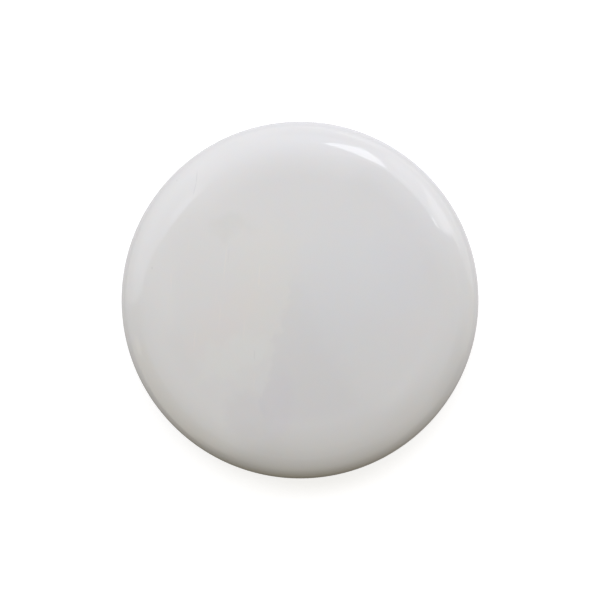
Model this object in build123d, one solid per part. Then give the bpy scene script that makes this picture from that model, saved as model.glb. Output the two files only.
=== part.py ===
from build123d import *
import os

# Dealer button for a card table: a round weighted puck with two equal faces.
# Two moulded plastic shells meet at a seam round the middle of the rim. A tongue on the
# lower shell enters a glue groove in the upper shell, and six pins enter six sockets.
# A steel ballast disc lies between two foam pads, centred by ribs and by a central hub.
# Units are millimetres. +Z is up, and the origin is the centre of the lower resting face.

# Outside shape
BUTTON_RADIUS = 50.8 / 2
THICKNESS = 7.6
SHOULDER_RUN = 8.0          # radial width of the rounded shoulder
RIM_LAND = 0.8              # straight height of the rim, both shells together
SEAM_CHAMFER = 0.15         # each shell's half of the witness groove at the seam

# Walls and cavity
WALL = 1.8
CAVITY_RADIUS = 21.4
CAVITY_CORNER = 1.5

# Tongue and groove, and the bead of adhesive at the bottom of the groove
TONGUE_CENTRE_RADIUS = 23.2
TONGUE_WIDTH = 1.2
TONGUE_HEIGHT = 1.2
TONGUE_LEAD_IN = 0.2
GROOVE_CLEARANCE = 0.05
BOND_THICKNESS = 0.4

# Locating pins on the lower shell, and their sockets in the upper shell
POST_COUNT = 6
POST_CIRCLE_RADIUS = 19.5
BOSS_RADIUS = 2.1
BOSS_GAP = 0.1              # between a pin's shoulder and the boss above it
PIN_RADIUS = 1.1
PIN_HEIGHT = 1.2            # above the seam
PIN_LEAD_IN = 0.25
SOCKET_CLEARANCE = 0.05
SOCKET_DEPTH = 1.45

# Central hub: a tube on the lower shell with a spigot that enters the upper shell's tube
HUB_RADIUS = 4.4
HUB_BORE_RADIUS = 2.4
SPIGOT_RADIUS = 3.4
SPIGOT_HEIGHT = 1.2         # above the seam
SPIGOT_CLEARANCE = 0.05

# Ribs that centre the ballast, three between each pair of posts
RIB_ANGLES = (15, 30, 45)   # degrees past each post
RIB_WIDTH = 1.0
RIB_INNER_RADIUS = 17.2
KEY_EVERY = 2               # the middle rib is a key in every second gap
KEY_ANGLE = 30
KEY_WIDTH = 1.2
KEY_INNER_RADIUS = 15.8
RIB_OVERLAP = 0.4           # how far a rib runs into the rim wall

# Marks that the ejector pins of the mould leave on the inner face of a shell
EJECTOR_COUNT = 6
EJECTOR_CIRCLE_RADIUS = 10.0
EJECTOR_RADIUS = 1.5
EJECTOR_DEPTH = 0.1

# Ballast disc
BALLAST_RADIUS = 17.0
BALLAST_THICKNESS = 2.5
BALLAST_BORE_RADIUS = 4.6
BALLAST_EDGE_BREAK = 0.25
KEY_SLOT_CLEARANCE = 0.15   # on each side of a key, and in front of it

# Foam pads above and below the ballast
PAD_INNER_RADIUS = 5.0
PAD_OUTER_RADIUS = 15.0

# Values worked out from the driving dimensions
SEAM_Z = THICKNESS / 2
FACE_RADIUS = BUTTON_RADIUS - SHOULDER_RUN
SHOULDER_DROP = SEAM_Z - RIM_LAND / 2
CAVITY_TOP_Z = THICKNESS - WALL
PAD_THICKNESS = (CAVITY_TOP_Z - WALL - BALLAST_THICKNESS) / 2
BALLAST_Z = WALL + PAD_THICKNESS
SHOULDER_Z = SEAM_Z - BOSS_GAP
GROOVE_DEPTH = TONGUE_HEIGHT + BOND_THICKNESS
POST_SPACING = 360 / POST_COUNT
KEY_COUNT = POST_COUNT // KEY_EVERY
KEY_SPACING = 360 / KEY_COUNT
BOTTOM = (Align.CENTER, Align.CENTER, Align.MIN)
RIB_ALIGN = (Align.MIN, Align.CENTER, Align.MIN)


def rod(radius, low, high, centre=(0, 0)):
    """A vertical cylinder from one height to another."""
    return Pos(centre[0], centre[1], low) * Cylinder(radius, high - low, align=BOTTOM)


def tube(outer, inner, low, high):
    """A vertical tube round the axis of the button."""
    return rod(outer, low, high) - rod(inner, low, high)


def on_circle(radius, count):
    """Places evenly spaced round the axis, the first on +X."""
    return PolarLocations(radius, count)


def shell_solid():
    """One half of the puck, with its face at the bottom and its seam at the top."""
    shoulder_centre = (FACE_RADIUS, SHOULDER_DROP)
    shoulder = EllipticalCenterArc(shoulder_centre, SHOULDER_RUN, SHOULDER_DROP, 270, arc_size=90)
    rest_of_outline = Polyline(
        (BUTTON_RADIUS, SHOULDER_DROP),
        (BUTTON_RADIUS, SEAM_Z - SEAM_CHAMFER),
        (BUTTON_RADIUS - SEAM_CHAMFER, SEAM_Z),
        (0, SEAM_Z),
        (0, 0),
        (FACE_RADIUS, 0),
    )
    return revolve(Plane.XZ * make_face(shoulder + rest_of_outline), Axis.Z)


def shell_cavity():
    """The dish inside one shell, with a rounded corner all round its floor."""
    dish = rod(CAVITY_RADIUS, WALL, SEAM_Z)
    floor_edge = dish.edges().filter_by(GeomType.CIRCLE).sort_by(Axis.Z)[0]
    return fillet(floor_edge, CAVITY_CORNER)


def ribs():
    """The short radial ribs that centre the ballast, with the longer keys among them."""
    found = []
    for post in range(POST_COUNT):
        for angle in RIB_ANGLES:
            is_key = angle == KEY_ANGLE and post % KEY_EVERY == 0
            inner = KEY_INNER_RADIUS if is_key else RIB_INNER_RADIUS
            width = KEY_WIDTH if is_key else RIB_WIDTH
            length = CAVITY_RADIUS + RIB_OVERLAP - inner
            blade = Box(length, width, SEAM_Z - WALL, align=RIB_ALIGN)
            found.append(Rot(0, 0, post * POST_SPACING + angle) * Pos(inner, 0, WALL) * blade)
    return found


def ejector_marks():
    """Shallow round recesses in the cavity floor."""
    mark = rod(EJECTOR_RADIUS, WALL - EJECTOR_DEPTH, WALL)
    return on_circle(EJECTOR_CIRCLE_RADIUS, EJECTOR_COUNT) * mark


def shell_blank():
    """What both shells share: the outside, the cavity, the ribs and the ejector marks."""
    return shell_solid() - shell_cavity() + ribs() - ejector_marks()


def tongue():
    """The raised ring on the lower shell's seam face, chamfered along its top."""
    half = TONGUE_WIDTH / 2
    ring = tube(TONGUE_CENTRE_RADIUS + half, TONGUE_CENTRE_RADIUS - half, SEAM_Z - TONGUE_HEIGHT,
                SEAM_Z + TONGUE_HEIGHT)
    top_edges = ring.edges().filter_by(GeomType.CIRCLE).group_by(Axis.Z)[-1]
    return chamfer(top_edges, TONGUE_LEAD_IN)


def groove_ring(low, high):
    """A ring as wide as the groove, between two heights."""
    half = TONGUE_WIDTH / 2 + GROOVE_CLEARANCE
    return tube(TONGUE_CENTRE_RADIUS + half, TONGUE_CENTRE_RADIUS - half, low, high)


def locating_post():
    """A stout post with a shoulder and a chamfered pin above it."""
    pin = rod(PIN_RADIUS, WALL, SEAM_Z + PIN_HEIGHT)
    pin_edge = pin.edges().filter_by(GeomType.CIRCLE).sort_by(Axis.Z)[-1]
    return rod(BOSS_RADIUS, WALL - EJECTOR_DEPTH, SHOULDER_Z) + chamfer(pin_edge, PIN_LEAD_IN)


def lower_shell():
    """The shell with the tongue, the pins and the hub's spigot."""
    hub = rod(HUB_RADIUS, WALL - EJECTOR_DEPTH, SHOULDER_Z)
    spigot = rod(SPIGOT_RADIUS, WALL, SEAM_Z + SPIGOT_HEIGHT)
    spigot_edge = spigot.edges().filter_by(GeomType.CIRCLE).sort_by(Axis.Z)[-1]
    spigot = chamfer(spigot_edge, PIN_LEAD_IN)
    bore = rod(HUB_BORE_RADIUS, WALL, SEAM_Z + SPIGOT_HEIGHT)
    posts = on_circle(POST_CIRCLE_RADIUS, POST_COUNT) * locating_post()
    return shell_blank() + posts + hub + spigot - bore + tongue()


def upper_shell():
    """The shell with the glue groove and the sockets, built face down and then turned over."""
    socket_radius = PIN_RADIUS + SOCKET_CLEARANCE
    places = on_circle(POST_CIRCLE_RADIUS, POST_COUNT)
    bosses = places * rod(BOSS_RADIUS, WALL - EJECTOR_DEPTH, SEAM_Z)
    sockets = places * rod(socket_radius, SEAM_Z - SOCKET_DEPTH, SEAM_Z)
    hub = rod(HUB_RADIUS, WALL - EJECTOR_DEPTH, SEAM_Z)
    bore = rod(SPIGOT_RADIUS + SPIGOT_CLEARANCE, WALL, SEAM_Z)
    groove = groove_ring(SEAM_Z - GROOVE_DEPTH, SEAM_Z)
    face_down = shell_blank() + bosses + hub - sockets - bore - groove
    return mirror(face_down, about=Plane.XY.offset(SEAM_Z))


def ballast_disc():
    """The steel disc, with its bore, its key slots and its broken edges."""
    disc = tube(BALLAST_RADIUS, BALLAST_BORE_RADIUS, BALLAST_Z, BALLAST_Z + BALLAST_THICKNESS)
    slot_end = KEY_INNER_RADIUS - KEY_SLOT_CLEARANCE
    slot_width = KEY_WIDTH + 2 * KEY_SLOT_CLEARANCE
    slot = Box(BALLAST_RADIUS, slot_width, BALLAST_THICKNESS, align=RIB_ALIGN)
    for key in range(KEY_COUNT):
        disc -= Rot(0, 0, key * KEY_SPACING + KEY_ANGLE) * Pos(slot_end, 0, BALLAST_Z) * slot
    flats = disc.faces().filter_by(Plane.XY)
    round_edges = flats.edges().filter_by(GeomType.CIRCLE)
    return chamfer(round_edges, BALLAST_EDGE_BREAK)


def damping_pad(low):
    """A die-cut foam ring that fills the space between the ballast and one shell."""
    return tube(PAD_OUTER_RADIUS, PAD_INNER_RADIUS, low, low + PAD_THICKNESS)


def seam_bond_ring():
    """The cured adhesive between the tongue's top and the groove's bottom."""
    return groove_ring(SEAM_Z + TONGUE_HEIGHT, SEAM_Z + GROOVE_DEPTH)


NODES = {
    "lower_shell": lower_shell(),
    "upper_shell": upper_shell(),
    "seam_bond_ring": seam_bond_ring(),
    "ballast_disc": ballast_disc(),
    "lower_damping_pad": damping_pad(WALL),
    "upper_damping_pad": damping_pad(BALLAST_Z + BALLAST_THICKNESS),
}

os.makedirs("parts", exist_ok=True)
for name, solid in NODES.items():
    export_step(solid, f"parts/{name}.step")
    print(name, round(solid.volume, 1), "mm3")
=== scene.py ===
import math

import bmesh
import bpy
import numpy as np
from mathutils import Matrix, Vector, noise


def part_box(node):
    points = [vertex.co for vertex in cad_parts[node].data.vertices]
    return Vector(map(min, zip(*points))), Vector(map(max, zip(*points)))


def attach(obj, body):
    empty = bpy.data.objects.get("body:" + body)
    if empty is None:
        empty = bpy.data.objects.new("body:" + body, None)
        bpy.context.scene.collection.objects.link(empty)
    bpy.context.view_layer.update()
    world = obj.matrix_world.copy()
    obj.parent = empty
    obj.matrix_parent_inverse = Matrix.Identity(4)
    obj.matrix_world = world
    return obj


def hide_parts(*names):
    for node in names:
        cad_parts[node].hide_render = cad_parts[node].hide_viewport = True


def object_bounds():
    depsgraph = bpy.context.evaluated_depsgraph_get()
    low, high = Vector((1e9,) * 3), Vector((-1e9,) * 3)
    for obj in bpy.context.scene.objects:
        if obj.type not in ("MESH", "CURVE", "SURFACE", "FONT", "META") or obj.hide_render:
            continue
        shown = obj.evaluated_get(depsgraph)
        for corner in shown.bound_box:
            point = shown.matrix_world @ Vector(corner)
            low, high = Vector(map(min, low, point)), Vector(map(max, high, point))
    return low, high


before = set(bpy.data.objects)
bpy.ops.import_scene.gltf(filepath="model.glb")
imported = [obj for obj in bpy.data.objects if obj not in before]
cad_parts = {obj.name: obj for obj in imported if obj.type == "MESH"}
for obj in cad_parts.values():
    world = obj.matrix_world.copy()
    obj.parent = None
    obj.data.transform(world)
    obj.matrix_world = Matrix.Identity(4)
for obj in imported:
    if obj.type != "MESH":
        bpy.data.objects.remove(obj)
cad_low, cad_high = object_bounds()

# ---------------------------------------------------------------- dimensions, in metres
MM = 0.001
RADIUS = cad_high.x
THICKNESS = cad_high.z
SEAM_Z = THICKNESS / 2
SHOULDER_RUN = 8.0 * MM
RIM_LAND = 0.8 * MM
SEAM_CHAMFER = 0.15 * MM
FACE_RADIUS = RADIUS - SHOULDER_RUN
SHOULDER_DROP = SEAM_Z - RIM_LAND / 2

WALL = 1.8 * MM
CAVITY_RADIUS = 21.4 * MM
CAVITY_CORNER = 1.5 * MM

TONGUE_CENTRE_RADIUS = 23.2 * MM
TONGUE_HALF = 0.6 * MM
TONGUE_HEIGHT = 1.2 * MM
TONGUE_LEAD_IN = 0.2 * MM
GROOVE_HALF = 0.65 * MM
GROOVE_DEPTH = 1.6 * MM

POST_COUNT = 6
POST_CIRCLE_RADIUS = 19.5 * MM
BOSS_RADIUS = 2.1 * MM
BOSS_GAP = 0.1 * MM
PIN_RADIUS = 1.1 * MM
PIN_HEIGHT = 1.2 * MM
PIN_LEAD_IN = 0.25 * MM
SOCKET_RADIUS = 1.15 * MM
SOCKET_DEPTH = 1.45 * MM

HUB_RADIUS = 4.4 * MM
HUB_BORE_RADIUS = 2.4 * MM
SPIGOT_RADIUS = 3.4 * MM
SPIGOT_BORE_RADIUS = 3.45 * MM

RIB_ANGLES = (15, 30, 45)
KEY_ANGLE = 30
KEY_EVERY = 2
RIB_WIDTH = 1.0 * MM
KEY_WIDTH = 1.2 * MM
RIB_INNER_RADIUS = 17.2 * MM
KEY_INNER_RADIUS = 15.8 * MM
RIB_OVERLAP = 0.4 * MM
EJECTOR_COUNT = 6
EJECTOR_CIRCLE_RADIUS = 10.0 * MM
EJECTOR_RADIUS = 1.5 * MM
EJECTOR_DEPTH = 0.1 * MM
SINK = 0.3 * MM             # how far an inner feature's foot runs into the wall it grows from

# ---------------------------------------------------------------- mesh tools
SLIVER = 0.001 * MM         # points closer than this are one point
SHARP_ANGLE = 30            # degrees: an edge that turns by more stays sharp


def new_object(name, mesh):
    """An object of that mesh, linked to the scene."""
    made = bpy.data.objects.new(name, mesh)
    bpy.context.scene.collection.objects.link(made)
    return made


def mesh_from(name, vertices, faces):
    """A mesh with its normals pointing out."""
    mesh = bpy.data.meshes.new(name)
    mesh.from_pydata(vertices, [], faces)
    work = bmesh.new()
    work.from_mesh(mesh)
    bmesh.ops.recalc_face_normals(work, faces=work.faces)
    work.to_mesh(mesh)
    work.free()
    return mesh


def lathe(name, section, segments, centre=(0, 0)):
    """A closed solid turned from a section of (radius, height) points about a vertical axis.

    The section is an open path from the axis to the axis, or a closed loop clear of it.
    """
    vertices, rings = [], []
    for radius, height in section:
        if radius == 0:
            rings.append([len(vertices)] * segments)
            vertices.append((centre[0], centre[1], height))
            continue
        rings.append(list(range(len(vertices), len(vertices) + segments)))
        for corner in range(segments):
            angle = 2 * math.pi * corner / segments
            x = centre[0] + radius * math.cos(angle)
            y = centre[1] + radius * math.sin(angle)
            vertices.append((x, y, height))
    closed = section[0][0] > 0
    pairs = list(zip(rings, rings[1:]))
    if closed:
        pairs.append((rings[-1], rings[0]))
    faces = []
    for low, high in pairs:
        for corner in range(segments):
            after = (corner + 1) % segments
            around = [low[corner], low[after], high[after], high[corner]]
            faces.append(list(dict.fromkeys(around)))
    return mesh_from(name, vertices, faces)


def block(name, length, width, height, inner, angle, low):
    """A radial blade that starts at radius inner and points along an angle in degrees."""
    turn = math.radians(angle)
    along = Vector((math.cos(turn), math.sin(turn), 0))
    across = Vector((-math.sin(turn), math.cos(turn), 0)) * width / 2
    corners = []
    for z in (low, low + height):
        for distance, side in ((inner, -1), (inner + length, -1), (inner + length, 1), (inner, 1)):
            corners.append(along * distance + across * side + Vector((0, 0, z)))
    faces = [(0, 1, 2, 3), (4, 5, 6, 7), (0, 1, 5, 4), (1, 2, 6, 5), (2, 3, 7, 6), (3, 0, 4, 7)]
    return mesh_from(name, corners, faces)


def joined(name, meshes):
    """One mesh that holds several closed meshes."""
    work = bmesh.new()
    for mesh in meshes:
        work.from_mesh(mesh)
        bpy.data.meshes.remove(mesh)
    mesh = bpy.data.meshes.new(name)
    work.to_mesh(mesh)
    work.free()
    return mesh


def without_slivers(mesh):
    """Merges the points that lie closer than a micron, so no face is left without an area."""
    work = bmesh.new()
    work.from_mesh(mesh)
    bmesh.ops.remove_doubles(work, verts=work.verts, dist=SLIVER)
    bmesh.ops.dissolve_degenerate(work, edges=work.edges, dist=SLIVER)
    work.to_mesh(mesh)
    work.free()
    return mesh


def carve(base, tool_mesh, operation):
    """Unites a mesh with the base object, or cuts it away, and applies the result."""
    tool = new_object("tool", tool_mesh)
    modifier = base.modifiers.new("carve", "BOOLEAN")
    modifier.operation = operation
    modifier.solver = "EXACT"
    modifier.object = tool
    evaluated = base.evaluated_get(bpy.context.evaluated_depsgraph_get())
    result = bpy.data.meshes.new_from_object(evaluated)
    base.modifiers.clear()
    base.data = without_slivers(result)
    bpy.data.objects.remove(tool)


def smooth(obj):
    """Smooth shading, with the sharp edges kept."""
    obj.data.shade_smooth()
    obj.data.set_sharp_from_angle(angle=math.radians(SHARP_ANGLE))


def arc(centre, run, rise, start, end, steps):
    """Points along an elliptical arc, angles in degrees, both ends included."""
    points = []
    for angle in np.linspace(start, end, steps + 1):
        turn = math.radians(angle)
        points.append((centre[0] + run * math.cos(turn), centre[1] + rise * math.sin(turn)))
    return points


# ---------------------------------------------------------------- the two shells
# How finely each round shape is divided: facets round the axis, or steps along an arc.
SEGMENTS = 288
HUB_SEGMENTS = 96
HUB_BORE_SEGMENTS = 72
BOSS_SEGMENTS = 48
PIN_SEGMENTS = 36
SHOULDER_STEPS = 44
CORNER_STEPS = 8
FACE_RINGS = 12

# The waves in a moulded skin, and the depth to which it counts as skin
WAVE_LENGTH = 7.0 * MM
WAVE_HEIGHT = 0.003 * MM
RIPPLE_SHARE = 0.4          # the finer waves, against the long ones, in length and in height
SKIN_DEPTH = 0.02 * MM
SKIN_TILT = 4               # how much more height counts than reach in the way a wave pushes


def outside_section():
    """The outside of one shell, from the middle of its face to its seam, face at the bottom."""
    face = [(radius, 0) for radius in np.linspace(0, FACE_RADIUS, FACE_RINGS + 1)[:-1]]
    shoulder = arc((FACE_RADIUS, SHOULDER_DROP), SHOULDER_RUN, SHOULDER_DROP, 270, 360, SHOULDER_STEPS)
    land = [(RADIUS, SEAM_Z - SEAM_CHAMFER), (RADIUS - SEAM_CHAMFER, SEAM_Z)]
    return face + shoulder + land


def cavity_section():
    """The inside of one shell, from the seam to the middle of its floor."""
    corner_centre = (CAVITY_RADIUS - CAVITY_CORNER, WALL + CAVITY_CORNER)
    corner = arc(corner_centre, CAVITY_CORNER, CAVITY_CORNER, 360, 270, CORNER_STEPS)
    return [(CAVITY_RADIUS, SEAM_Z)] + corner + [(0, WALL)]


def tongue_section():
    """The tongue on the lower shell's seam face, from outside to inside."""
    outer = TONGUE_CENTRE_RADIUS + TONGUE_HALF
    inner = TONGUE_CENTRE_RADIUS - TONGUE_HALF
    top = SEAM_Z + TONGUE_HEIGHT
    shoulder = top - TONGUE_LEAD_IN
    return [
        (outer, SEAM_Z), (outer, shoulder), (outer - TONGUE_LEAD_IN, top),
        (inner + TONGUE_LEAD_IN, top), (inner, shoulder), (inner, SEAM_Z),
    ]


def groove_section():
    """The glue groove in the upper shell's seam face, from outside to inside."""
    outer = TONGUE_CENTRE_RADIUS + GROOVE_HALF
    inner = TONGUE_CENTRE_RADIUS - GROOVE_HALF
    bottom = SEAM_Z - GROOVE_DEPTH
    return [(outer, SEAM_Z), (outer, bottom), (inner, bottom), (inner, SEAM_Z)]


def on_circle(radius, count):
    """Places evenly spaced round the axis, the first on +X."""
    turns = [2 * math.pi * place / count for place in range(count)]
    return [(radius * math.cos(turn), radius * math.sin(turn)) for turn in turns]


def rod_section(radius, low, high, lead_in=0):
    """A plain round rod, with a chamfer round its top if lead_in isn't 0."""
    top = [(radius, high - lead_in), (radius - lead_in, high)] if lead_in else [(radius, high)]
    return [(0, low), (radius, low)] + top + [(0, high)]


def turned_at(places, name, section, segments):
    """The same turned mesh at each of several places."""
    return [lathe(name, section, segments, place) for place in places]


def at_posts(name, section, segments):
    """The same turned mesh on the axis of each of the six locating posts."""
    return turned_at(on_circle(POST_CIRCLE_RADIUS, POST_COUNT), name, section, segments)


def rib_meshes():
    """The ribs and keys that centre the ballast, inside one shell."""
    blades = []
    for post in range(POST_COUNT):
        for offset in RIB_ANGLES:
            is_key = offset == KEY_ANGLE and post % KEY_EVERY == 0
            inner = KEY_INNER_RADIUS if is_key else RIB_INNER_RADIUS
            width = KEY_WIDTH if is_key else RIB_WIDTH
            length = CAVITY_RADIUS + RIB_OVERLAP - inner
            angle = post * 360 / POST_COUNT + offset
            height = SEAM_Z - WALL + SINK
            blades.append(block("rib", length, width, height, inner, angle, WALL - SINK))
    return blades


def ejector_marks():
    """Shallow round recesses that the mould's ejector pins leave in the cavity floor."""
    section = rod_section(EJECTOR_RADIUS, WALL - EJECTOR_DEPTH, WALL + SINK)
    return turned_at(on_circle(EJECTOR_CIRCLE_RADIUS, EJECTOR_COUNT), "mark", section, PIN_SEGMENTS)


def undulate(obj, seed):
    """The faint waves that a moulded skin has as it shrinks: a few microns, outside only."""
    shift = Vector((seed, -seed, seed * 0.5))
    for vertex in obj.data.vertices:
        place = vertex.co
        if not on_skin(math.hypot(place.x, place.y), place.z):
            continue
        away = Vector((place.x, place.y, (place.z - SEAM_Z) * SKIN_TILT)).normalized()
        height = noise.noise(place / WAVE_LENGTH + shift)
        height += RIPPLE_SHARE * noise.noise(place / (WAVE_LENGTH * RIPPLE_SHARE) + shift)
        vertex.co = place + away * (height * WAVE_HEIGHT)


def on_skin(reach, height):
    """True for a point on the rounded shoulder, and not on a flat face or the rim's land."""
    drop = min(height, THICKNESS - height)
    if reach < FACE_RADIUS or drop > SHOULDER_DROP:
        return False
    share = min(1.0, (reach - FACE_RADIUS) / SHOULDER_RUN)
    surface = SHOULDER_DROP * (1 - math.sqrt(1 - share * share))
    return abs(drop - surface) < SKIN_DEPTH


def turn_over(mesh):
    """Mirrors a face-down shell about the seam, which makes it the upper one."""
    for vertex in mesh.vertices:
        vertex.co.z = THICKNESS - vertex.co.z
    mesh.flip_normals()


def lower_shell():
    """The shell with the tongue, the pins and the hub's spigot."""
    section = outside_section() + tongue_section() + cavity_section()
    shell = new_object("lower_shell_moulding", lathe("lower_shell", section, SEGMENTS))
    low, shoulder, top = WALL - SINK, SEAM_Z - BOSS_GAP, SEAM_Z + PIN_HEIGHT
    bosses = at_posts("boss", rod_section(BOSS_RADIUS, low, shoulder), BOSS_SEGMENTS)
    hub = lathe("hub", rod_section(HUB_RADIUS, low, shoulder), HUB_SEGMENTS)
    carve(shell, joined("inner", rib_meshes() + bosses + [hub]), "UNION")
    pins = at_posts("pin", rod_section(PIN_RADIUS, shoulder - SINK, top, PIN_LEAD_IN), PIN_SEGMENTS)
    spigot = lathe("spigot", rod_section(SPIGOT_RADIUS, shoulder - SINK, top, PIN_LEAD_IN), HUB_SEGMENTS)
    carve(shell, joined("pins", pins + [spigot]), "UNION")
    bore = lathe("bore", rod_section(HUB_BORE_RADIUS, WALL, THICKNESS), HUB_BORE_SEGMENTS)
    carve(shell, joined("cuts", ejector_marks() + [bore]), "DIFFERENCE")
    undulate(shell, 3)
    return shell


def upper_shell():
    """The shell with the glue groove and the sockets, built face down and then turned over."""
    section = outside_section() + groove_section() + cavity_section()
    shell = new_object("upper_shell_moulding", lathe("upper_shell", section, SEGMENTS))
    bosses = at_posts("boss", rod_section(BOSS_RADIUS, WALL - SINK, SEAM_Z), BOSS_SEGMENTS)
    hub = lathe("hub", rod_section(HUB_RADIUS, WALL - SINK, SEAM_Z), HUB_SEGMENTS)
    carve(shell, joined("inner", rib_meshes() + bosses + [hub]), "UNION")
    socket = rod_section(SOCKET_RADIUS, SEAM_Z - SOCKET_DEPTH, THICKNESS)
    sockets = at_posts("socket", socket, PIN_SEGMENTS)
    bore = lathe("bore", rod_section(SPIGOT_BORE_RADIUS, WALL, THICKNESS), HUB_SEGMENTS)
    carve(shell, joined("cuts", ejector_marks() + sockets + [bore]), "DIFFERENCE")
    turn_over(shell.data)
    undulate(shell, 8)
    return shell


# ---------------------------------------------------------------- foam pads
PAD_INNER_RADIUS = 5.0 * MM
PAD_EDGE = 0.22 * MM        # how far the cut edge of a squeezed pad bulges
PAD_GRAIN_SIZE = 0.6 * MM
PAD_GRAIN_DEPTH = 0.02 * MM
PAD_SEGMENTS = 160
PAD_RINGS = 20


def foam_pad(name, node, seed):
    """A die-cut foam ring, its cut edges rounded by the squeeze and its surface grained."""
    low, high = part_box(node)
    outer_edge, inner_edge = high.x - PAD_EDGE, PAD_INNER_RADIUS + PAD_EDGE
    mid_z, half = (low.z + high.z) / 2, (high.z - low.z) / 2
    outside = arc((outer_edge, mid_z), PAD_EDGE, half, -90, 90, CORNER_STEPS)
    inside = arc((inner_edge, mid_z), PAD_EDGE, half, 90, 270, CORNER_STEPS)
    middle = np.linspace(outer_edge, inner_edge, PAD_RINGS + 2)[1:-1]
    top = [(radius, high.z) for radius in middle]
    bottom = [(radius, low.z) for radius in middle[::-1]]
    pad = new_object(name, lathe(name, outside + top + inside + bottom, PAD_SEGMENTS))
    for vertex in pad.data.vertices:
        grain = 0.5 + 0.5 * noise.noise(vertex.co / PAD_GRAIN_SIZE + Vector((seed, 0, 0)))
        side = 1 if vertex.co.z > mid_z else -1
        vertex.co.z -= side * PAD_GRAIN_DEPTH * grain
    return pad


# ---------------------------------------------------------------- materials
PEEL_DEPTH = 0.0012 * MM    # the heights of the bumps in each material
ROLLING_DEPTH = 0.004 * MM
BUBBLE_DEPTH = 0.01 * MM
PORE_DEPTH = 0.06 * MM


class Nodes:
    """Short ways to add shader nodes to one material."""

    def __init__(self, name):
        self.material = bpy.data.materials.new(name)
        self.material.use_nodes = True
        self.tree = self.material.node_tree
        self.shader = self.tree.nodes["Principled BSDF"]
        self.place = self.add("ShaderNodeTexCoord").outputs["Object"]

    def add(self, kind, **settings):
        """A new node with those settings."""
        made = self.tree.nodes.new(kind)
        for key, value in settings.items():
            setattr(made, key, value)
        return made

    def link(self, source, target):
        """Joins an output to an input, or sets the input itself where the source is a value."""
        if hasattr(source, "is_output"):
            self.tree.links.new(source, target)
        else:
            target.default_value = source

    def stretched(self, scale, turn=0.0, shift=(0, 0, 0)):
        """The object's own coordinates, scaled, turned about the vertical and shifted."""
        mapping = self.add("ShaderNodeMapping")
        mapping.inputs["Scale"].default_value = scale
        mapping.inputs["Rotation"].default_value = (0, 0, math.radians(turn))
        mapping.inputs["Location"].default_value = shift
        self.link(self.place, mapping.inputs["Vector"])
        return mapping.outputs["Vector"]

    def noise(self, place, scale, detail=2.0, rough=0.5, output="Fac"):
        """Smooth random noise, with its scale in grains per metre."""
        made = self.add("ShaderNodeTexNoise")
        self.link(place, made.inputs["Vector"])
        made.inputs["Scale"].default_value = scale
        made.inputs["Detail"].default_value = detail
        made.inputs["Roughness"].default_value = rough
        return made.outputs[output]

    def vector(self, operation, *values):
        """One step of vector arithmetic."""
        made = self.add("ShaderNodeVectorMath", operation=operation)
        for value, target in zip(values, made.inputs):
            self.link(value, target)
        return made.outputs["Value" if operation == "LENGTH" else "Vector"]

    def wandering(self, grain, reach):
        """The object's own coordinates, pushed sideways by noise of a grain size."""
        push = self.noise(self.place, 1 / grain, 3.0, output="Color")
        push = self.vector("SUBTRACT", push, (0.5, 0.5, 0.5))
        return self.vector("MULTIPLY_ADD", push, (reach, reach, 0), self.place)

    def spot(self, place, centre, half, lean, edge):
        """1 inside an ellipse on the upper face, 0 outside; millimetres, leaning by degrees."""
        mapping = self.add("ShaderNodeMapping", vector_type="TEXTURE")
        mapping.inputs["Location"].default_value = (centre[0] * MM, centre[1] * MM, THICKNESS)
        mapping.inputs["Rotation"].default_value = (0, 0, math.radians(lean))
        mapping.inputs["Scale"].default_value = (half[0] * MM, half[1] * MM, SPOT_DEPTH)
        self.link(place, mapping.inputs["Vector"])
        return self.span(self.vector("LENGTH", mapping.outputs["Vector"]), 1 - edge, 1 + edge, 1.0, 0.0)

    def beside(self, place, point, facing, soft):
        """1 on the side of a line that faces an angle, 0 behind it; millimetres and degrees."""
        mapping = self.add("ShaderNodeMapping", vector_type="TEXTURE")
        mapping.inputs["Location"].default_value = (point[0] * MM, point[1] * MM, 0)
        mapping.inputs["Rotation"].default_value = (0, 0, math.radians(facing))
        self.link(place, mapping.inputs["Vector"])
        split = self.add("ShaderNodeSeparateXYZ")
        self.link(mapping.outputs["Vector"], split.inputs[0])
        return self.span(split.outputs["X"], -soft * MM, soft * MM)

    def math(self, operation, first, second):
        """One step of arithmetic."""
        made = self.add("ShaderNodeMath", operation=operation)
        self.link(first, made.inputs[0])
        self.link(second, made.inputs[1])
        return made.outputs[0]

    def span(self, value, low, high, to_low=0.0, to_high=1.0):
        """Maps low..high smoothly onto another range, and holds it outside."""
        made = self.add("ShaderNodeMapRange", interpolation_type="SMOOTHSTEP")
        self.link(value, made.inputs["Value"])
        made.inputs["From Min"].default_value = low
        made.inputs["From Max"].default_value = high
        made.inputs["To Min"].default_value = to_low
        made.inputs["To Max"].default_value = to_high
        return made.outputs["Result"]

    def mix(self, share, first, second, blend="MIX"):
        """The first colour where share is 0, and its blend with the second where share is 1."""
        made = self.add("ShaderNodeMix", data_type="RGBA", blend_type=blend)
        # A mix node keeps its colours in sockets 6 and 7, and gives their blend in output 2.
        for socket, value in ((0, share), (6, first), (7, second)):
            self.link(value, made.inputs[socket])
        return made.outputs[2]

    def tone(self, share, base, tint):
        """The base colour, multiplied by a tint where share is 1."""
        return self.mix(share, base, (*tint, 1), "MULTIPLY")

    def bump(self, height, distance):
        """The normal of a surface that a height between 0 and 1 raises by up to a distance."""
        made = self.add("ShaderNodeBump")
        made.inputs["Distance"].default_value = distance
        self.link(height, made.inputs["Height"])
        return made.outputs["Normal"]

    def set(self, **values):
        """Links or sets the shader's own inputs, named with underscores for their spaces."""
        for key, value in values.items():
            self.link(value, self.shader.inputs[key.replace("_", " ")])


SPOT_DEPTH = 5.0 * MM       # marks stay near the upper face, and the lower one is clean

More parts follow.
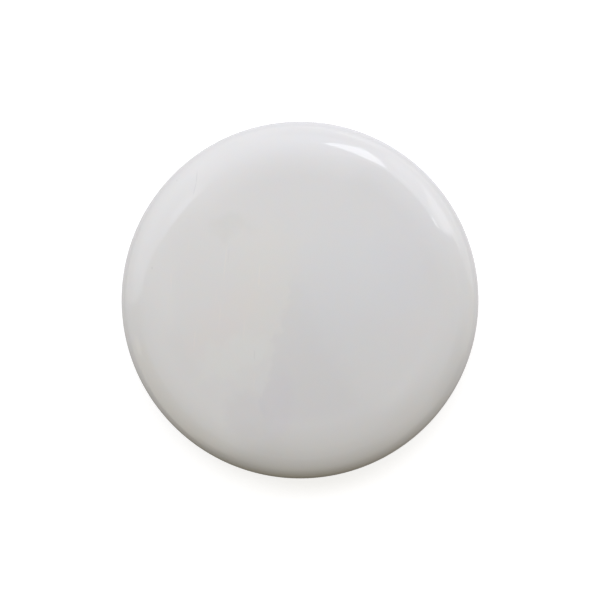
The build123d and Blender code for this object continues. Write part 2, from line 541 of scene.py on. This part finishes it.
# Uneven toning of the upper face, in mm from its middle: centre, half sizes, lean, border
# softness and tint.
STAINS = (
    ((-4.5, 3.0), (4.2, 8.5), 0, 0.4, (1.009, 1.004, 0.985)),
    ((-10.5, -3.0), (6.5, 2.8), 38, 0.5, (1.016, 0.997, 0.988)),
    ((-9.5, -8.0), (5.5, 2.4), 28, 0.4, (1.020, 1.027, 1.014)),
    ((7.5, 1.5), (9.0, 9.0), 0, 0.5, (0.979, 0.990, 1.008)),
    ((-9.4, 10.3), (2.4, 1.4), 0, 0.8, (0.965, 0.968, 0.955)),
    ((-3.4, -14.8), (2.0, 4.4), -8, 0.5, (0.984, 0.978, 1.000)),
    ((-7.4, -16.0), (2.4, 3.2), 0, 0.6, (0.958, 0.955, 0.965)),
    ((14.0, -4.0), (6.0, 2.0), 0, 0.6, (1.006, 0.994, 0.990)),
    ((15.5, 6.0), (4.0, 6.0), 0, 0.7, (0.984, 0.982, 0.992)),
    ((1.5, 16.5), (10.0, 6.5), 0, 0.6, (0.980, 0.980, 0.988)),
)
# A wedge-shaped darker field: its point in mm, the ways its two borders face, their softness, its tint.
WEDGE_POINT = (-1.2, 2.9)
WEDGE_BORDERS = ((-13, 0.5), (210, 3.0))
WEDGE_TINT = (0.969, 0.968, 0.976)
# Hairline scratches, painted lighter as painted glints where they catch the light: both ends in mm, and
# strength.
HAIRLINE_GLINTS = (
    ((-18.1, 3.9), (-18.1, 1.3), 0.7),
    ((-15.6, 8.6), (-15.7, 6.6), 0.4),
    ((-10.3, 7.3), (-10.7, 3.0), 1.0),
    ((-5.65, 5.0), (-5.8, 2.0), 1.0),
    ((-11.1, -0.3), (-11.4, -3.9), 0.7),
    ((-11.7, 1.8), (-11.8, -0.3), 0.4),
    ((-7.8, -2.8), (-7.9, -5.5), 0.7),
    ((-14.7, -4.1), (-14.9, -7.1), 0.7),
    ((-6.4, -10.3), (-6.5, -12.6), 0.6),
    ((-5.3, -12.8), (-5.4, -14.2), 0.5),
)
# Dark hairs and specks of dust on the surface: both ends in mm, and strength.
DARK_MARKS = (
    ((-9.95, 7.2), (-10.1, 5.4), 0.35),
    ((-6.4, -7.1), (-6.4, -8.4), 0.5),
    ((-14.5, 18.1), (-14.6, 16.5), 0.8),
    ((-14.6, 16.5), (-15.0, 14.8), 0.8),
    ((-20.8, 4.6), (-20.8, 4.4), 1.0),
    ((-17.4, 17.0), (-17.4, 16.8), 0.9),
)
MARK_HALF_WIDTH = 0.075     # mm
MARK_EDGE = 0.35            # how soft a mark's border is, as a share of its half width
# Painted light: the plastic is tinted warm on the left and cool on the right, for warmer light from the
# left and cooler light from the right.
LIGHT_TINT_REACH = 20.0 * MM    # how far from the middle the left side is all warm, and the right all cool


def marks(n, lines):
    """The strength of a set of thin straight marks, 0 off them."""
    total = 0.0
    for start, end, strength in lines:
        run, rise = end[0] - start[0], end[1] - start[1]
        centre = ((start[0] + end[0]) / 2, (start[1] + end[1]) / 2)
        half = (math.hypot(run, rise) / 2 + MARK_HALF_WIDTH, MARK_HALF_WIDTH)
        share = n.spot(n.place, centre, half, math.degrees(math.atan2(rise, run)), MARK_EDGE)
        total = n.math("MAXIMUM", n.math("MULTIPLY", share, strength), total)
    return total


def shell_plastic():
    """Glossy off-white ABS: uneven toning, a painted light tint (warm on the left, cool on the right),
    faint cloudiness, hair-fine scratches painted lighter as glints, a little dust.
    """
    n = Nodes("shell_plastic")
    split = n.add("ShaderNodeSeparateXYZ")
    n.link(n.place, split.inputs[0])
    # A painted light tint: warm over the left half of the plastic, cool over the right.
    side = n.span(split.outputs["X"], -LIGHT_TINT_REACH, LIGHT_TINT_REACH)
    warm = (0.648, 0.644, 0.643, 1)
    cool = (0.645, 0.645, 0.653, 1)
    cloudy = (0.642, 0.639, 0.637, 1)
    base = n.mix(side, warm, cool)
    cloud = n.noise(n.place, 95.0, 3.0, 0.55)
    base = n.mix(n.span(cloud, 0.35, 0.70, 0.0, 0.35), base, cloudy)
    wandering = n.wandering(3.0 * MM, 5.0 * MM)
    for centre, half, lean, soft, tint in STAINS:
        base = n.tone(n.spot(wandering, centre, half, lean, soft), base, tint)
    wedge = n.spot(n.place, (0, 0), (FACE_RADIUS / MM, FACE_RADIUS / MM), 0, 0.1)
    for facing, soft in WEDGE_BORDERS:
        wedge = n.math("MULTIPLY", wedge, n.beside(wandering, WEDGE_POINT, facing, soft))
    base = n.tone(wedge, base, WEDGE_TINT)
    # A very faint mottling in two tints, about a millimetre in grain
    red_mottle = n.noise(n.place, 800.0, 2.0)
    base = n.tone(n.span(red_mottle, 0.3, 0.7), base, (1.014, 1.0, 0.986))
    green_mottle = n.noise(n.stretched((1, 1, 1), 0, (0.05, 0, 0)), 700.0, 2.0)
    base = n.tone(n.span(green_mottle, 0.3, 0.7), base, (0.996, 1.007, 0.996))
    # Painted glints: the hairline scratches are painted lighter where they catch the light.
    base = n.tone(marks(n, HAIRLINE_GLINTS), base, (1.045, 1.025, 1.0))
    base = n.tone(marks(n, DARK_MARKS), base, (0.90, 0.90, 0.91))
    n.set(Base_Color=base)
    # Fine wiping scratches, all nearly one way, which only dull the gloss
    hair = n.noise(n.stretched((5200, 110, 110), 8), 1.0, 1.0)
    scratch = n.span(hair, 0.72, 0.80)
    n.set(Roughness=n.math("ADD", n.math("MULTIPLY", scratch, 0.06), 0.03))
    peel = n.noise(n.place, 620.0, 2.0)
    n.set(Normal=n.bump(peel, PEEL_DEPTH))
    n.shader.inputs["IOR"].default_value = 1.54
    return n.material


def zinc_plate():
    """Zinc-plated punched steel: satin, with faint rolling lines and blotches."""
    n = Nodes("ballast_steel")
    blotch = n.noise(n.place, 240.0, 4.0, 0.6)
    rolled = n.noise(n.stretched((60, 5200, 60)), 1.0, 2.0)
    n.set(Base_Color=n.mix(n.span(blotch, 0.35, 0.65), (0.56, 0.57, 0.60, 1), (0.66, 0.66, 0.65, 1)))
    n.set(Roughness=n.span(rolled, 0.3, 0.7, 0.28, 0.44))
    n.set(Normal=n.bump(rolled, ROLLING_DEPTH))
    n.shader.inputs["Metallic"].default_value = 1.0
    return n.material


def cured_adhesive():
    """Cured adhesive: pale amber, smooth, with small trapped bubbles."""
    n = Nodes("bond_adhesive")
    cells = n.add("ShaderNodeTexVoronoi")
    n.link(n.place, cells.inputs["Vector"])
    cells.inputs["Scale"].default_value = 1700.0
    bubble = n.span(cells.outputs["Distance"], 0.12, 0.30, 1.0, 0.0)
    n.set(Base_Color=n.mix(bubble, (0.80, 0.74, 0.58, 1), (0.88, 0.85, 0.76, 1)))
    n.set(Normal=n.bump(bubble, BUBBLE_DEPTH))
    n.shader.inputs["Roughness"].default_value = 0.22
    return n.material


def foam():
    """Black closed-cell foam: matt, with small open pores where it was cut, their hollows painted darker
    as painted shade.
    """
    n = Nodes("pad_foam")
    cells = n.add("ShaderNodeTexVoronoi", feature="DISTANCE_TO_EDGE")
    n.link(n.place, cells.inputs["Vector"])
    cells.inputs["Scale"].default_value = 3200.0
    wall = n.span(cells.outputs["Distance"], 0.02, 0.22, 1.0, 0.0)
    # Painted shade: the pores' hollows are darker than the cell walls round them.
    n.set(Base_Color=n.mix(wall, (0.030, 0.030, 0.033, 1), (0.085, 0.085, 0.090, 1)))
    n.set(Normal=n.bump(wall, PORE_DEPTH))
    n.set(Roughness=n.span(wall, 0.0, 1.0, 0.95, 0.78))
    return n.material


# ---------------------------------------------------------------- the object
plastic = shell_plastic()
for build, name in ((lower_shell, "lower_shell"), (upper_shell, "upper_shell")):
    shell = build()
    shell.data.materials.clear()
    shell.data.materials.append(plastic)
    smooth(shell)
    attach(shell, "root")
    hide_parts(name)

pad_material = foam()
for seed, name in ((1.0, "lower_damping_pad"), (5.0, "upper_damping_pad")):
    pad = foam_pad(name.replace("pad", "foam"), name, seed)
    pad.data.materials.append(pad_material)
    smooth(pad)
    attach(pad, "root")
    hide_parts(name)

for name, material in (("ballast_disc", zinc_plate()), ("seam_bond_ring", cured_adhesive())):
    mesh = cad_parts[name].data
    mesh.materials.clear()
    mesh.materials.append(material)

# ---------------------------------------------------------------- studio


def emission(name, colour, strength):
    """A plain emitting material."""
    material = bpy.data.materials.new(name)
    material.use_nodes = True
    tree = material.node_tree
    tree.nodes.clear()
    glow = tree.nodes.new("ShaderNodeEmission")
    output = tree.nodes.new("ShaderNodeOutputMaterial")
    glow.inputs["Color"].default_value = colour
    glow.inputs["Strength"].default_value = strength
    tree.links.new(glow.outputs[0], output.inputs[0])
    material.cycles.emission_sampling = "NONE"
    return material


def step(value, low, high):
    """0 below low, 1 above high, smooth between."""
    share = np.clip((value - low) / (high - low), 0, 1)
    return share * share * (3 - 2 * share)


# Tints of the light. Seen directly, a brightness of 1 would be white.
NEUTRAL = np.array((1.0, 1.0, 1.0))
COOL = np.array((0.960, 0.985, 1.045))
PALE_COOL = np.array((0.985, 0.990, 1.010))
WARM = np.array((1.10, 1.04, 0.88))

# The bright wall's upper edge: azimuth from +X, zenith and softness, all in degrees.
SKYLINE = (
    (3, 82, 8), (9, 70, 6), (14, 62.5, 4), (20, 60, 3), (22.5, 57.5, 2), (23.5, 50, 1.5),
    (25.5, 43.5, 1), (27.5, 39, 1), (30, 37.7, 1), (57, 38.2, 1), (75, 34, 5), (84, 28.5, 8),
    (100, 29.5, 9), (117, 31, 6), (130, 28.5, 1.5), (135, 26.6, 0.6), (144, 27.4, 0.6),
    (154, 29.7, 0.6), (160.5, 34.6, 0.6), (172, 41.3, 0.8), (177.5, 44, 1.2), (180.5, 51, 2),
    (181.2, 61, 2),
)
# The window: azimuth, and the zeniths of its upper and lower edges, in degrees.
WINDOW = (
    (56.5, 42, 42), (58.5, 40.3, 44), (60.5, 39.6, 47.6), (64, 38.7, 50), (67.5, 38.7, 52.5),
    (71, 39.2, 49.6), (75.5, 40.0, 47.2), (80, 41.2, 44.2), (81.5, 42.6, 42.6),
)
NO_WALL = 130               # a zenith that nothing in the tent reaches
DOWN = 200                  # a zenith past everything, for areas that run to the floor
WALL_START = (1, 5)         # the azimuths over which the wall fades in at its east end
WALL_END = (180.6, 181.6)   # and over which it fades out at its west end
WALL_FADE = (40, 75)        # the zeniths over which its tint turns from cool to neutral
WINDOW_SOFTNESS = 0.4
DUSK = 5                    # half the width of the change from the dark side to the bright one


class TentLight:
    """The tent's brightness and tint by direction, in degrees from +X and from straight up."""

    def __init__(self, azimuth, zenith):
        self.azimuth = azimuth
        self.zenith = zenith
        self.light = np.zeros(azimuth.shape + (3,))

    def area(self, azimuths, zeniths, softness):
        """1 inside a stretch of directions and 0 outside, with soft borders."""
        middle, half = sum(azimuths) / 2, (azimuths[1] - azimuths[0]) / 2
        off = np.abs((self.azimuth - middle + 180) % 360 - 180)
        above = step(self.zenith, zeniths[0] - softness[1], zeniths[0])
        below = 1 - step(self.zenith, zeniths[1], zeniths[1] + softness[1])
        return (1 - step(off, half, half + softness[0])) * above * below

    def northward(self):
        """The angle to the north of the east-west plane."""
        turn, down = np.radians(self.azimuth), np.radians(self.zenith)
        return np.degrees(np.arcsin(np.clip(np.sin(down) * np.sin(turn), -1, 1)))

    def under_skyline(self):
        """1 on the bright wall, 0 above its stepped upper edge and past its two ends."""
        azimuths, zeniths, softness = np.array(SKYLINE).T
        top = np.interp(self.azimuth, azimuths, zeniths, left=NO_WALL, right=NO_WALL)
        under = step(self.zenith, top - np.interp(self.azimuth, azimuths, softness), top)
        return under * step(self.azimuth, *WALL_START) * (1 - step(self.azimuth, *WALL_END))

    def through_window(self):
        """1 inside the window's curved outline, 0 outside."""
        azimuths, tops, bottoms = np.array(WINDOW).T
        top = np.interp(self.azimuth, azimuths, tops)
        bottom = np.interp(self.azimuth, azimuths, bottoms)
        soft = WINDOW_SOFTNESS
        below_top = step(self.zenith, top - soft, top + soft)
        return below_top * (1 - step(self.zenith, bottom - soft, bottom + soft))

    def paint(self, brightness, tint, weight):
        """Puts light of one brightness and tint where weight is 1, over what is there."""
        colour = np.asarray(brightness)[..., None] * tint
        self.light += (colour - self.light) * weight[..., None]

    def panel(self, brightness, tint, azimuths, zeniths, softness):
        """Paints one soft area."""
        self.paint(brightness, tint, self.area(azimuths, zeniths, softness))


# The tent's soft areas: brightness, tint, azimuths, zeniths and the softness of both, in degrees.
PANELS = (
    (1.65, COOL, (20, 58), (12, DOWN), (16, 11)),
    (1.15, NEUTRAL, (-40, 8), (14, DOWN), (24, 12)),
    (1.90, NEUTRAL, (150, 182), (12, DOWN), (18, 11)),
    (1.70, NEUTRAL, (192, 238), (30, 40), (26, 36)),
    (1.40, WARM, (184, 238), (50, DOWN), (14, 11)),
    (0.70, WARM, (274, 314), (31, 40), (26, 20)),
    (0.60, WARM, (264, 338), (50, DOWN), (20, 11)),
    (0.90, WARM, (306, 320), (47, 68), (8, 8)),
    (0.15, WARM, (244, 334), (80, DOWN), (18, 11)),
    (1.10, WARM, (346, 394), (72, DOWN), (8, 9)),
    (1.55, NEUTRAL, (181.2, 192), (41.5, DOWN), (5, 4)),
    (2.20, WARM, (193.5, 198), (61, 69), (2, 3)),
)
# Two small glints, written the same way
LOW_LINE = (3.3, NEUTRAL, (65, 77), (74.5, 77.5), (3, 0.8))
SPARKLE = (8.0, NEUTRAL, (28.4, 31.2), (37.8, 38.6), (1.5, 0.6))
# The brightness of the rest
DARK_SIDE = 0.33
BRIGHT_SIDE = 2.38
STREAK_LIGHT = 3.9
WINDOW_LIGHT = 6.1

# The bright wall dims towards the floor: each brightness, and the zeniths over which it sets in.
WALL_DROPS = ((2.65, 0, 1), (2.55, 36.5, 55), (1.95, 53.5, 76), (1.70, 76, 100))
# Its three brighter patches and its two dim ones: brightness, azimuths, zeniths and softness.
WALL_PATCHES = (
    (2.80, (126, 168), (24, 54), (10, 22)),
    (2.80, (20, 54), (33, 59), (8, 12)),
    (3.40, (135, 145), (26, 33), (6, 5)),
    (1.75, (68, 92), (62, 84), (12, 12)),
    (1.70, (0, 16), (66, DOWN), (6, 8)),
)


def wall_light(tent):
    """The brightness of the wall in every direction."""
    light = np.zeros_like(tent.zenith)
    for brightness, start, end in WALL_DROPS:
        light += (brightness - light) * step(tent.zenith, start, end)
    for brightness, azimuths, zeniths, softness in WALL_PATCHES:
        light += (brightness - light) * tent.area(azimuths, zeniths, softness)
    return light


# The bright band by the wall's north-east corner, in degrees
STREAK_EAST = (22, 26)      # the azimuths over which it sets in
STREAK_TOP = (41, 47)       # the zeniths over which it sets in
STREAK_FOOT = (59, 65)      # and over which it ends
STREAK_WEST = 31.5          # the azimuth of its west border at the zenith below
STREAK_WEST_ZENITH = 36.5
STREAK_SLANT = 0.44         # how far that border moves for each degree of zenith
STREAK_SOFTNESS = 1.5


def wall_streak(tent):
    """1 in the slanting bright band, 0 outside."""
    west = STREAK_WEST + (tent.zenith - STREAK_WEST_ZENITH) * STREAK_SLANT
    across = step(tent.azimuth, *STREAK_EAST) * (1 - step(tent.azimuth, west, west + STREAK_SOFTNESS))
    return across * step(tent.zenith, *STREAK_TOP) * (1 - step(tent.zenith, *STREAK_FOOT))


def tent_light(azimuth, zenith):
    """The light tent: dim behind the photographer, bright on the window side."""
    tent = TentLight(azimuth, zenith)
    tent.paint(DARK_SIDE, WARM, np.ones_like(azimuth))
    tent.paint(BRIGHT_SIDE, PALE_COOL, step(tent.northward(), -DUSK, DUSK))
    for panel in PANELS:
        tent.panel(*panel)
    wall = tent.under_skyline()
    wall_tint = COOL + (NEUTRAL - COOL) * step(zenith, *WALL_FADE)[..., None]
    tent.paint(wall_light(tent), wall_tint, wall)
    tent.panel(*LOW_LINE)
    tent.paint(STREAK_LIGHT, PALE_COOL, wall * wall_streak(tent))
    tent.panel(*SPARKLE)
    tent.paint(WINDOW_LIGHT, COOL, tent.through_window())
    return tent.light


STUDIO_RADIUS = 1.5
ROOM_RADIUS = STUDIO_RADIUS * 1.1
GRID_STEP = 0.6             # degrees between the points that hold the tent's light


def show_only_to(obj, *rays):
    """Makes an object visible to the named kinds of ray alone."""
    for kind in ("camera", "diffuse", "glossy", "transmission", "volume_scatter", "shadow"):
        setattr(obj, "visible_" + kind, kind in rays)


def light_tent():
    """A hemisphere that glows by direction, for the plastic's gloss to reflect."""
    azimuths = np.arange(0, 360, GRID_STEP)
    zeniths = np.arange(GRID_STEP, 90 + GRID_STEP / 2, GRID_STEP)
    azimuth, zenith = (grid.ravel() for grid in np.meshgrid(azimuths, zeniths))
    turn, down = np.radians(azimuth), np.radians(zenith)
    ways = np.stack([np.sin(down) * np.cos(turn), np.sin(down) * np.sin(turn), np.cos(down)], -1)
    vertices = [(0, 0, STUDIO_RADIUS)] + (ways * STUDIO_RADIUS).tolist()
    glow = tent_light(azimuth, zenith)
    count = len(azimuths)
    faces = [(0, 1 + k, 1 + (k + 1) % count) for k in range(count)]
    for ring in range(len(zeniths) - 1):
        first = 1 + ring * count
        for k in range(count):
            after = (k + 1) % count
            faces.append((first + k, first + count + k, first + count + after, first + after))
    mesh = bpy.data.meshes.new("light_tent")
    mesh.from_pydata(vertices, [], faces)
    layer = mesh.color_attributes.new("glow", "FLOAT_COLOR", "POINT")
    values = np.ones((len(vertices), 4), np.float32)
    values[1:, :3] = glow
    values[0, :3] = glow[:count].mean(0)
    layer.data.foreach_set("color", values.ravel())
    material = emission("tent_glow", (1, 1, 1, 1), 1.0)
    tree = material.node_tree
    read = tree.nodes.new("ShaderNodeAttribute")
    read.attribute_name = "glow"
    tree.links.new(read.outputs["Color"], tree.nodes["Emission"].inputs["Color"])
    mesh.materials.append(material)
    show_only_to(new_object("light_tent", mesh), "glossy")


# Soft round lamps: azimuth, zenith, brightness and tint. They give the plastic its shading.
LAMPS = (
    (48, 62, 2.80, (0.94, 0.97, 1.09)),
    (148, 62, 2.10, (0.94, 0.97, 1.09)),
    (105, 35, 2.50, (0.94, 0.97, 1.09)),
    (0, 65, 1.15, (1.025, 1.005, 0.98)),
    (190, 65, 0.45, (1.04, 1.05, 0.97)),
)
LAMP_DISTANCE = 1.0
LAMP_HALF_ANGLE = 22        # degrees, seen from the button
ROOM_LIGHT = 0.20
ROOM_TINT = (1.21, 1.07, 0.73, 1)


def soft_lamps():
    """Disc lamps round the button. The gloss reflects the tent and not the lamps."""
    radius = LAMP_DISTANCE * math.tan(math.radians(LAMP_HALF_ANGLE))
    for azimuth, zenith, brightness, tint in LAMPS:
        turn, down = math.radians(azimuth), math.radians(zenith)
        way = Vector((math.sin(down) * math.cos(turn), math.sin(down) * math.sin(turn), math.cos(down)))
        light = bpy.data.lights.new("soft_lamp", "AREA")
        light.shape = "DISK"
        light.size = 2 * radius
        # The power that makes the whole disc this bright
        light.energy = brightness * math.pi * (math.pi * radius ** 2)
        light.color = tint
        lamp = new_object("soft_lamp", light)
        lamp.location = way * LAMP_DISTANCE
        lamp.rotation_euler = way.to_track_quat("Z", "Y").to_euler()
        lamp.visible_glossy = False
        lamp.visible_camera = False


def room_light():
    """A dome of even warm light, the same from every side."""
    bpy.ops.mesh.primitive_uv_sphere_add(segments=32, ring_count=16, radius=ROOM_RADIUS)
    dome = bpy.context.object
    dome.name = "room_light"
    dome.data.materials.append(emission("room_glow", ROOM_TINT, ROOM_LIGHT))
    show_only_to(dome, "diffuse")


def plane(name, half, height):
    """A square plane centred on the axis."""
    corners = [(-half, -half, height), (half, -half, height), (half, half, height), (-half, half, height)]
    return new_object(name, mesh_from(name, corners, [(0, 1, 2, 3)]))


WHITE_REACH = 64 * MM       # the floor is white this far from the axis,
GREY_REACH = 160 * MM       # and grey from here on
FLOOR_GAP = 0.1 * MM        # how far the second floor lies below the first


def seen_floor():
    """The pale table top that the camera sees: white round the button, grey further out."""
    floor = plane("floor", STUDIO_RADIUS, 0)
    n = Nodes("floor_white")
    beyond = n.span(n.vector("LENGTH", n.place), WHITE_REACH, GREY_REACH)
    n.set(Emission_Color=n.mix(beyond, (1, 1, 1, 1), (0.42, 0.43, 0.45, 1)))
    n.set(Base_Color=n.mix(beyond, (0.45, 0.45, 0.45, 1), (0.30, 0.30, 0.31, 1)))
    n.shader.inputs["Roughness"].default_value = 0.9
    n.shader.inputs["Specular IOR Level"].default_value = 0.1
    n.shader.inputs["Emission Strength"].default_value = 0.75
    n.material.cycles.emission_sampling = "NONE"
    floor.data.materials.append(n.material)
    show_only_to(floor, "camera")


def bounce_floor():
    """The floor that lights the button from below: dark to the south, pale elsewhere."""
    floor = plane("bounce_floor", STUDIO_RADIUS, -FLOOR_GAP)
    n = Nodes("floor_bounce")
    way = n.add("ShaderNodeVectorMath", operation="NORMALIZE")
    n.link(n.place, way.inputs[0])
    split = n.add("ShaderNodeSeparateXYZ")
    n.link(way.outputs[0], split.inputs[0])
    north = n.span(split.outputs["Y"], -0.85, 0.10)
    n.set(Base_Color=n.mix(north, (0.17, 0.155, 0.140, 1), (0.92, 0.92, 0.94, 1)))
    n.shader.inputs["Roughness"].default_value = 1.0
    n.shader.inputs["Specular IOR Level"].default_value = 0.0
    floor.data.materials.append(n.material)
    show_only_to(floor, "diffuse", "glossy", "shadow")


light_tent()
room_light()
soft_lamps()
seen_floor()
bounce_floor()

BACKDROP = (0.62, 0.63, 0.65, 1)    # what shows past the edge of the floor
world = bpy.data.worlds.new("plain")
bpy.context.scene.world = world
world.use_nodes = True
world.node_tree.nodes["Background"].inputs["Color"].default_value = BACKDROP
world.node_tree.nodes["Background"].inputs["Strength"].default_value = 1.0
for kind in ("diffuse", "glossy", "transmission", "scatter"):
    setattr(world.cycles_visibility, kind, False)

# ---------------------------------------------------------------- camera
LENS = 100.0                # both in mm
SENSOR_WIDTH = 36.0
FRAME_TO_BUTTON = 1.6844    # the width of the frame against the width of the button
camera = bpy.data.objects.new("camera", bpy.data.cameras.new("camera"))
bpy.context.scene.collection.objects.link(camera)
camera.data.lens = LENS
camera.data.sensor_width = SENSOR_WIDTH
frame_width = 2 * RADIUS * FRAME_TO_BUTTON
camera.location = (0, 0, SEAM_Z + frame_width * LENS / SENSOR_WIDTH)
camera.data.clip_start = 0.01
camera.data.clip_end = 10.0
bpy.context.scene.camera = camera
bpy.context.scene.view_settings.view_transform = "Standard"
